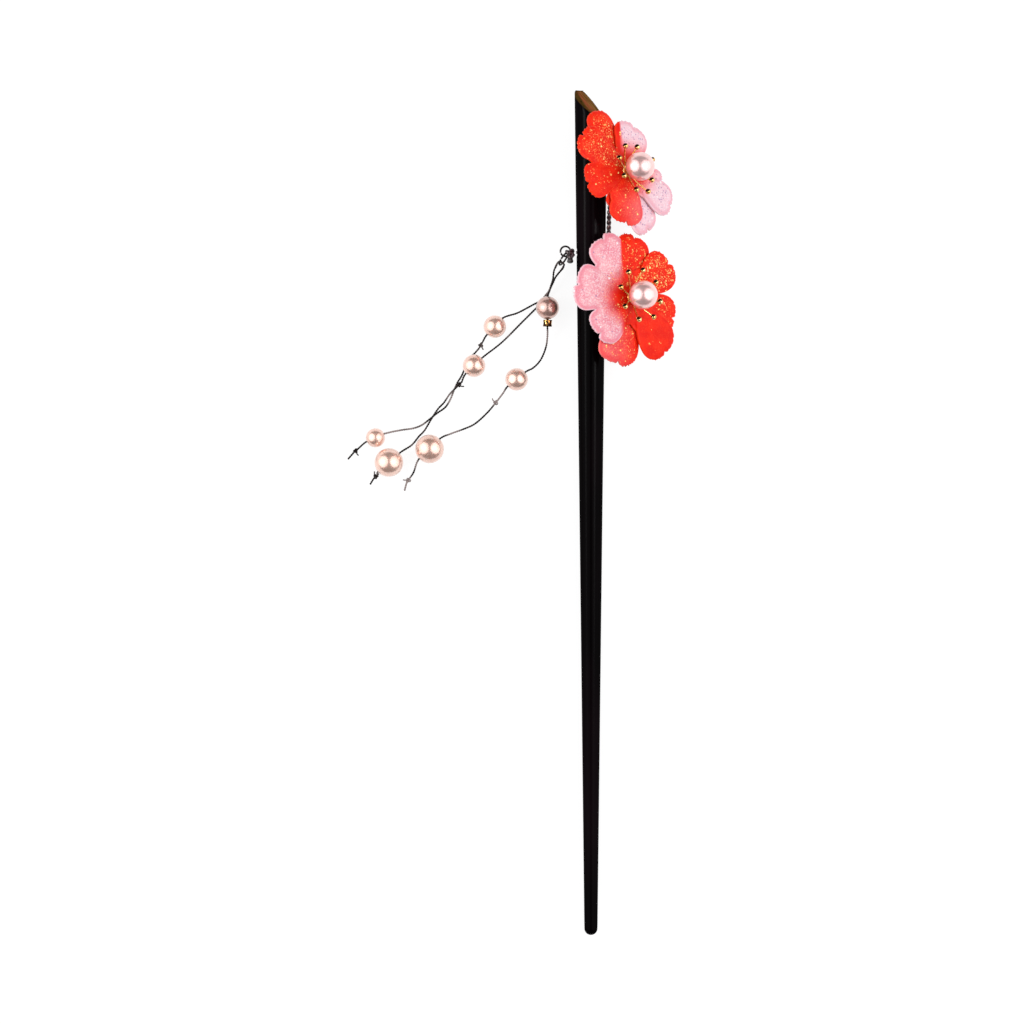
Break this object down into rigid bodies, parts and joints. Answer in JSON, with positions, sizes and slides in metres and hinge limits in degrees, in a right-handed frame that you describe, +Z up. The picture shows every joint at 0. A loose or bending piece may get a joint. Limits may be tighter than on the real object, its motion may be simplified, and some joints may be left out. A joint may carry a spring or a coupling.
{
  "type": "kanzashi hairpin",
  "caption": "Black lacquered hair stick with red and pink double cherry blossoms at its slanted head and a loose tassel of pearl strands tied through a cross hole",
  "frame": {"origin": "the point of the stick, on the surface that the hairpin lies on", "axes": "+Y along the stick to its head, +X to the side that the blossoms are on, +Z up from the surface"},
  "size_m": [0.0682, 0.175, 0.0162],
  "materials": {
    "lacquered_wood": "gloss black lacquer, bare wood on the slanted cut",
    "petal_resin": "translucent resin in red and pink with glitter",
    "gold": "polished gold plating",
    "pink_pearl": "pinkish white pearl lustre",
    "champagne_pearl": "champagne pearl lustre",
    "dark_cord": "twisted silk",
    "dark_thread": "waxed thread with a dull shine",
    "dark_wire": "dark oxidised wire"
  },
  "bodies": {
    "root": {"stick": "lacquered_wood", "upper_front": "petal_resin", "upper_back": "petal_resin", "lower_front": "petal_resin", "lower_back": "petal_resin", "upper_stamens": "gold", "lower_stamens": "gold", "upper_pearl": "pink_pearl", "lower_pearl": "pink_pearl", "upper_post": "gold", "lower_post": "gold", "tie_cord": "dark_cord", "cord_knot": "dark_cord", "small_ring": "dark_wire", "large_ring": "dark_wire", "long_thread": "dark_thread", "short_thread": "dark_thread", "gold_crimp": "gold", "top_pearl": "champagne_pearl", "inner_pearl": "champagne_pearl", "middle_pearl": "champagne_pearl", "outer_pearl": "champagne_pearl", "end_pearl": "champagne_pearl", "left_end_pearl": "champagne_pearl", "right_end_pearl": "champagne_pearl", "inner_knot": "dark_thread", "middle_knot": "dark_thread", "outer_knot": "dark_thread", "end_knot": "dark_thread", "left_end_knot": "dark_thread", "right_end_knot": "dark_thread"}
  },
  "joints": []
}
